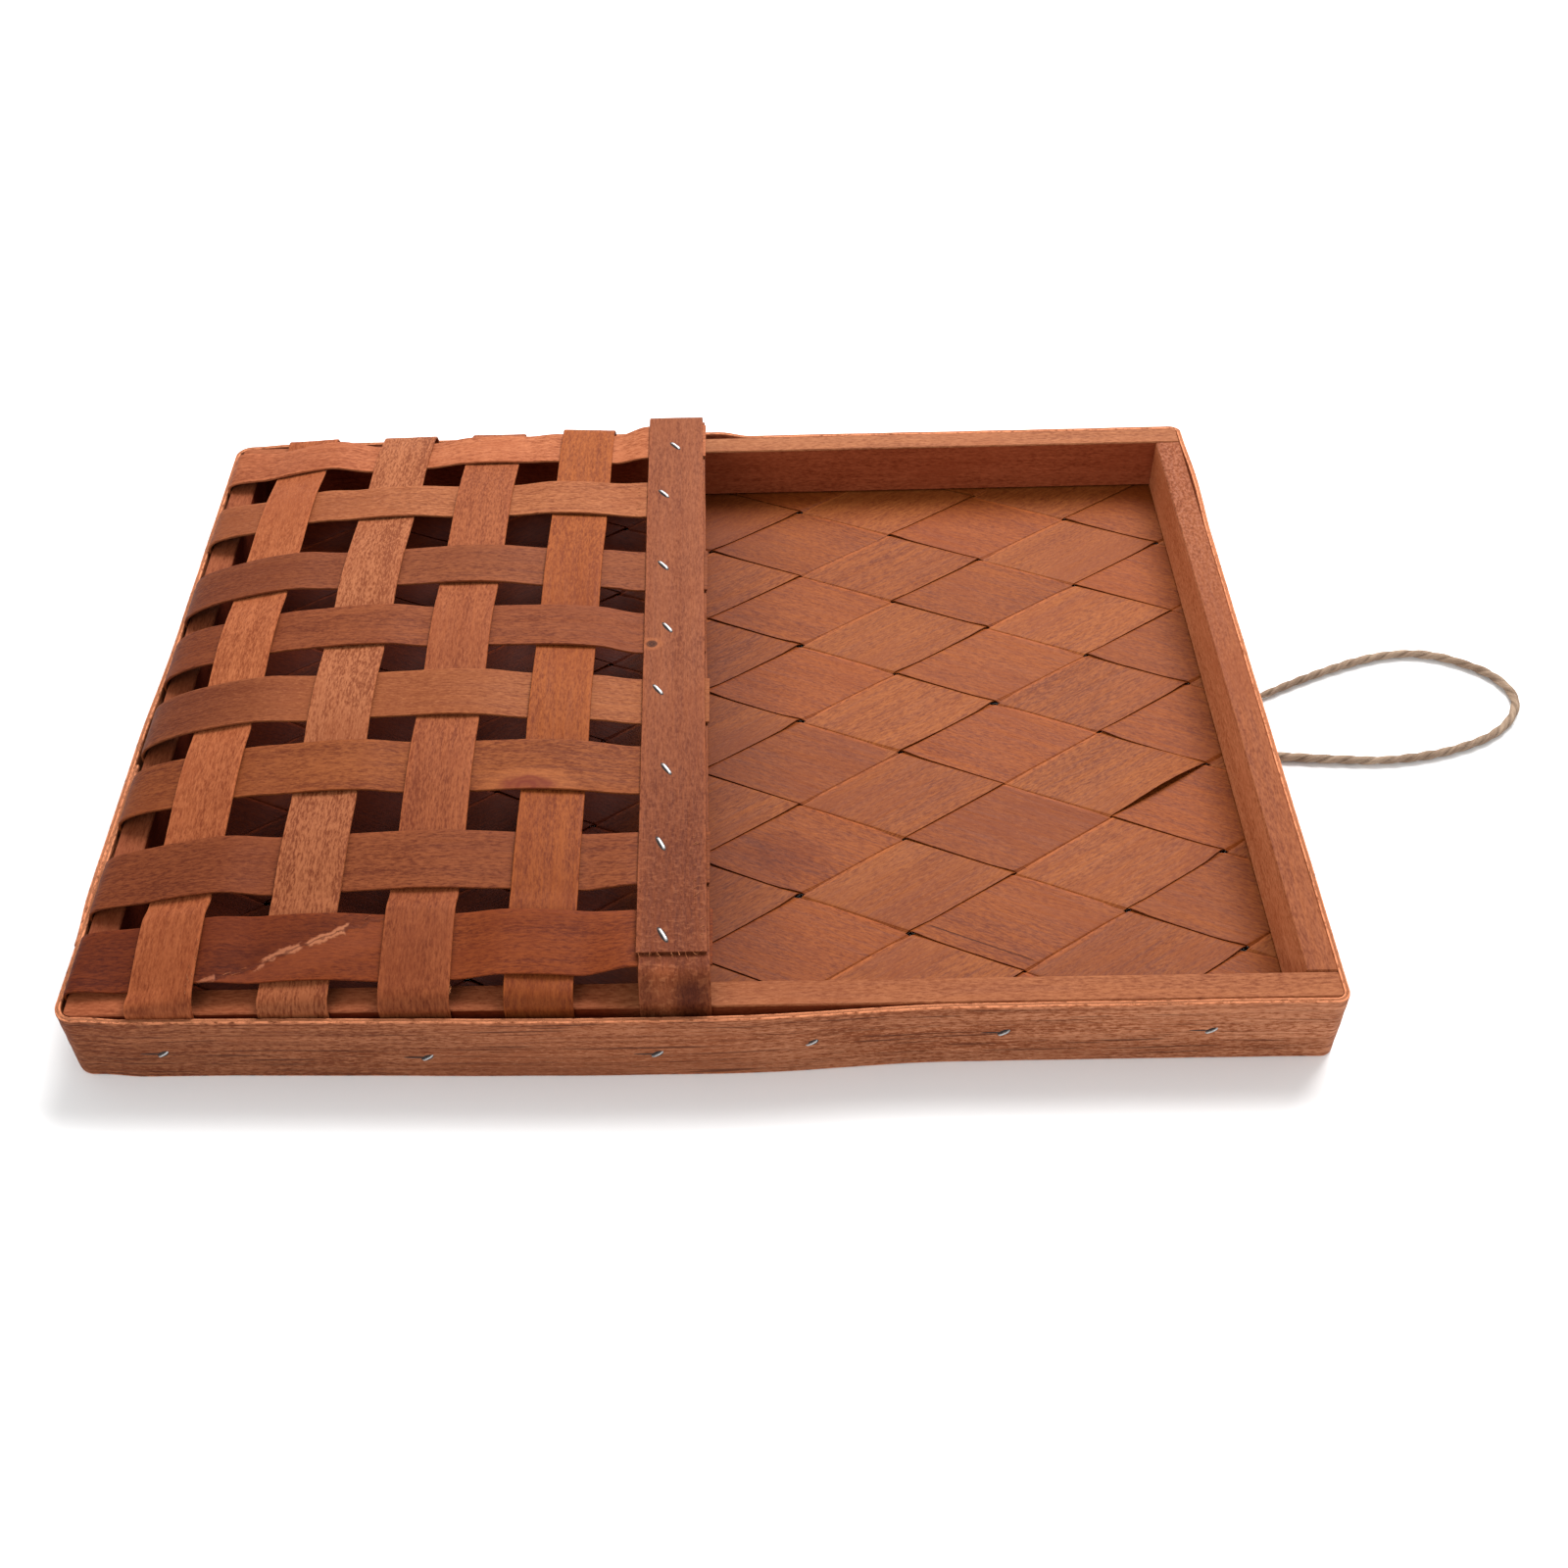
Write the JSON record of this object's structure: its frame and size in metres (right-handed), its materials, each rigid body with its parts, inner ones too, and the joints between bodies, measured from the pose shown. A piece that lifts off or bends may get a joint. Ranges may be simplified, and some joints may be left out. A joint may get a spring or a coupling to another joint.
{
  "type": "wall hanging basket",
  "caption": "Flat wooden wall basket: a shallow rectangular tray with a slant-woven back, a woven splint pocket over its lower half, and a twine loop to hang it by.",
  "frame": {"origin": "centre of the tray's outline, without the twine, on the plane of its back edge that lies against the wall", "axes": "+X along the tray towards the twine loop, up when it hangs; +Y across the tray to its left side; +Z out of the wall, through the pocket's weave"},
  "size_m": [0.5062, 0.3108, 0.0482],
  "materials": {
    "rail_wood": "sawn solid wood, stained reddish brown, matt",
    "band_wood": "thin split wood, stained brown, coarse grain, matt",
    "back_wood_light": "thin veneer strip, stained reddish brown, matt",
    "back_wood_dark": "thin veneer strip, stained reddish brown, matt",
    "splint_wood": "thin split wood, stained reddish brown, matt",
    "dark_splint_wood": "thin split wood, stained darker brown, matt",
    "rim_wood": "thin split wood, stained reddish brown, matt",
    "staple_steel": "bright steel wire",
    "twine": "undyed twisted plant fibre, fuzzy"
  },
  "bodies": {
    "basket": {"top_rail": "rail_wood", "bottom_rail": "rail_wood", "left_rail": "rail_wood", "right_rail": "rail_wood", "edge_band": "band_wood", "back_strip_rising_1": "back_wood_light", "back_strip_rising_2": "back_wood_light", "back_strip_rising_3": "back_wood_light", "back_strip_rising_4": "back_wood_light", "back_strip_rising_5": "back_wood_light", "back_strip_rising_6": "back_wood_light", "back_strip_rising_7": "back_wood_light", "back_strip_rising_8": "back_wood_light", "back_strip_rising_9": "back_wood_light", "back_strip_rising_10": "back_wood_light", "back_strip_rising_11": "back_wood_light", "back_strip_rising_12": "back_wood_light", "back_strip_rising_13": "back_wood_light", "back_strip_falling_1": "back_wood_dark", "back_strip_falling_2": "back_wood_dark", "back_strip_falling_3": "back_wood_dark", "back_strip_falling_4": "back_wood_dark", "back_strip_falling_5": "back_wood_dark", "back_strip_falling_6": "back_wood_dark", "back_strip_falling_7": "back_wood_dark", "back_strip_falling_8": "back_wood_dark", "back_strip_falling_9": "back_wood_dark", "back_strip_falling_10": "back_wood_dark", "back_strip_falling_11": "back_wood_dark", "long_splint_1": "splint_wood", "long_splint_2": "splint_wood", "long_splint_3": "dark_splint_wood", "long_splint_4": "splint_wood", "long_splint_5": "dark_splint_wood", "long_splint_6": "splint_wood", "long_splint_7": "dark_splint_wood", "long_splint_8": "dark_splint_wood", "cross_splint_1": "splint_wood", "cross_splint_2": "splint_wood", "cross_splint_3": "splint_wood", "cross_splint_4": "splint_wood", "rim_strip_outer": "rim_wood", "rim_strip_inner": "rim_wood", "twine_back_run": "twine", "twine_staple": "staple_steel", "rim_staple_1": "staple_steel", "rim_staple_2": "staple_steel", "rim_staple_3": "staple_steel", "rim_staple_4": "staple_steel", "rim_staple_5": "staple_steel", "rim_staple_6": "staple_steel", "rim_staple_7": "staple_steel", "rim_staple_8": "staple_steel", "band_staple_1": "staple_steel", "band_staple_2": "staple_steel", "band_staple_3": "staple_steel", "band_staple_4": "staple_steel", "band_staple_5": "staple_steel", "band_staple_6": "staple_steel"},
    "hanging_loop": {"hanging_loop": "twine"}
  },
  "joints": [
    {"name": "loop_swing", "type": "hinge", "parent": "basket", "child": "hanging_loop", "pos_m": [0.20175, -0.00535, 0.00355], "axis": [0, -1, 0], "range_deg": [0, 90]}
  ]
}
